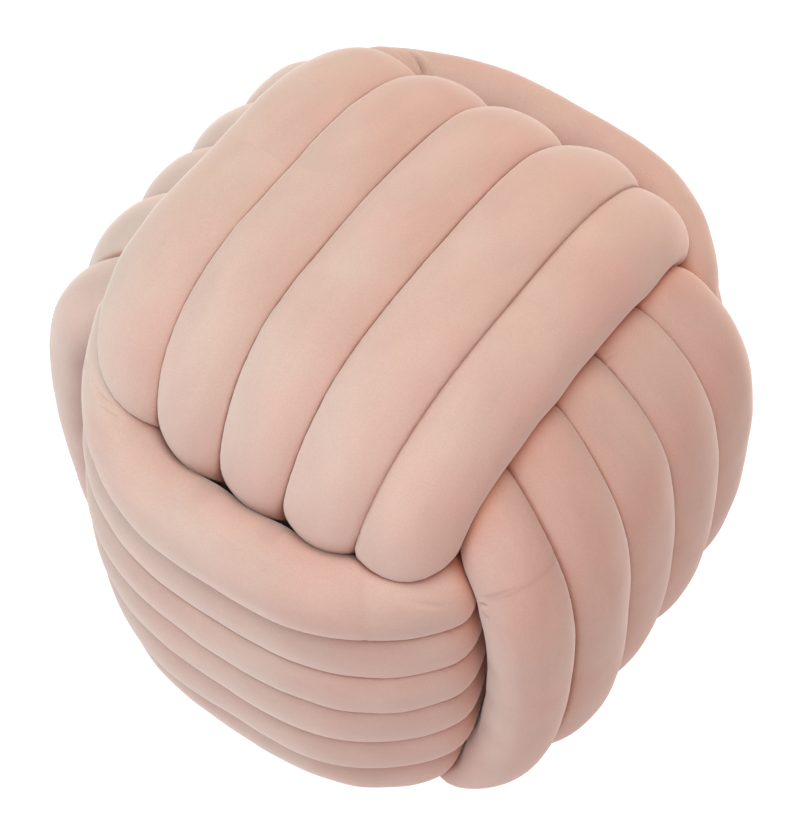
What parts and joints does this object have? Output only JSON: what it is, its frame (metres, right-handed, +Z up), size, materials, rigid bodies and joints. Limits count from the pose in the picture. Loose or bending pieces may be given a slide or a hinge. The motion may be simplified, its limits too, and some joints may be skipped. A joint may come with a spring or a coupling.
{
  "type": "knotted ball pouf",
  "caption": "Ball-shaped pouf knotted from one long stuffed velvet tube, with bands of plump turns that pass over and under one another on every side. It stands on a flattened underside.",
  "frame": {"origin": "on the floor, under the middle of the pouf", "axes": "+Z up; +Y along the turns on the top, away from the front; +X across them, to the right seen from the front"},
  "size_m": [0.4436, 0.4267, 0.4631],
  "materials": {
    "velvet": "short-pile velvet"
  },
  "bodies": {
    "root": {"knotted_tube": "velvet"}
  },
  "joints": []
}
